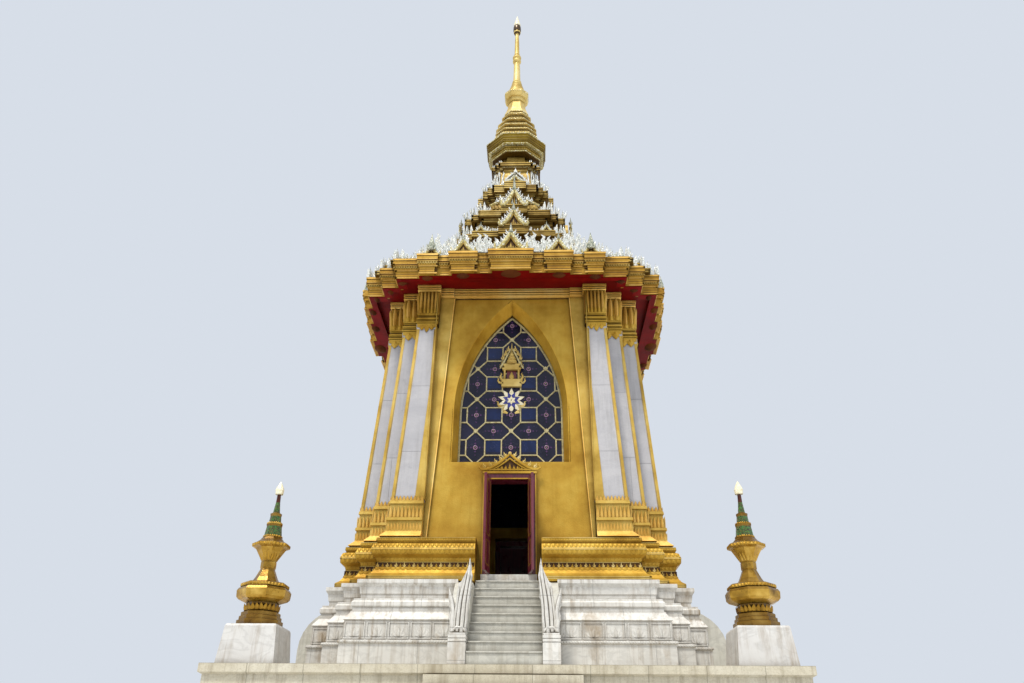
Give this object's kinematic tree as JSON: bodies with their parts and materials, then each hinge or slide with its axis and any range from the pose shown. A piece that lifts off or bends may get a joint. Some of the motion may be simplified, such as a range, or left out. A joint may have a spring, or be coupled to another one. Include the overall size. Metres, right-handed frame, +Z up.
{
  "type": "buddhist temple shrine hall",
  "caption": "Square gilded Thai mondop shrine with redented corners, arched leaded windows, ringed spire, stairs and corner lamps on two terraces.",
  "frame": {"origin": "centre of the lower terrace's underside, on the ground", "axes": "+Z up the spire, -Y towards the front doors, +X to the right seen from the front"},
  "size_m": [11.8, 14.32, 27.5],
  "materials": {
    "beige_stone": "worn sandstone",
    "white_marble": "honed, weather-stained",
    "pilaster_marble": "polished, grey veined",
    "gold_stucco": "gold paint over stucco",
    "gold_metal": "gold paint",
    "white_ceramic": "glazed white",
    "leaded_glass": "leaded, dark blue",
    "lacquered_wood": "maroon lacquer",
    "red_lacquer": "deep red paint"
  },
  "bodies": {
    "building": {"lower_terrace": "beige_stone", "upper_terrace": "white_marble", "marble_base": "white_marble", "hall_floor": "white_marble", "gold_base_front_right": "gold_stucco", "gold_base_back_right": "gold_stucco", "gold_base_back_left": "gold_stucco", "gold_base_front_left": "gold_stucco", "corner_pier_front_right": "pilaster_marble", "corner_pier_back_right": "pilaster_marble", "corner_pier_back_left": "pilaster_marble", "corner_pier_front_left": "pilaster_marble", "bay_front_over": "gold_stucco", "bay_front_right": "gold_stucco", "bay_front_left": "gold_stucco", "bay_right": "gold_stucco", "bay_back": "gold_stucco", "bay_left": "gold_stucco", "window_front": "leaded_glass", "window_right": "leaded_glass", "window_back": "leaded_glass", "window_left": "leaded_glass", "door_frame_front": "lacquered_wood", "door_right": "lacquered_wood", "door_back": "lacquered_wood", "door_left": "lacquered_wood", "soffit": "red_lacquer", "main_cornice": "gold_stucco", "roof_tier_1": "gold_stucco", "roof_tier_2": "gold_stucco", "roof_tier_3": "gold_stucco", "relic_chamber": "gold_stucco", "octagonal_canopy": "gold_stucco", "ring_stack": "gold_metal", "spire": "gold_metal", "finial": "gold_metal", "stair_front": "white_marble", "stair_right": "white_marble", "stair_back": "white_marble", "stair_left": "white_marble", "ground_stair": "beige_stone", "flame_front_right": "white_marble", "flame_front_left": "white_marble", "pedestal_front_right": "white_marble", "pedestal_back_right": "white_marble", "pedestal_back_left": "white_marble", "pedestal_front_left": "white_marble", "lamp_front_right": "gold_metal", "lamp_back_right": "gold_metal", "lamp_back_left": "gold_metal", "lamp_front_left": "gold_metal", "lamp_bulb_front_right": "white_ceramic", "lamp_bulb_back_right": "white_ceramic", "lamp_bulb_back_left": "white_ceramic", "lamp_bulb_front_left": "white_ceramic"},
    "leaf_left": {"door_leaf_left": "lacquered_wood"},
    "leaf_right": {"door_leaf_right": "lacquered_wood"}
  },
  "joints": [
    {"name": "leaf_left_hinge", "type": "hinge", "parent": "building", "child": "leaf_left", "pos_m": [-0.5, -3.61, 4.26], "axis": [0, 0, 1], "range_deg": [-10, 100]},
    {"name": "leaf_right_hinge", "type": "hinge", "parent": "building", "child": "leaf_right", "pos_m": [0.5, -3.61, 4.26], "axis": [0, 0, 1], "range_deg": [-100, 10]}
  ]
}
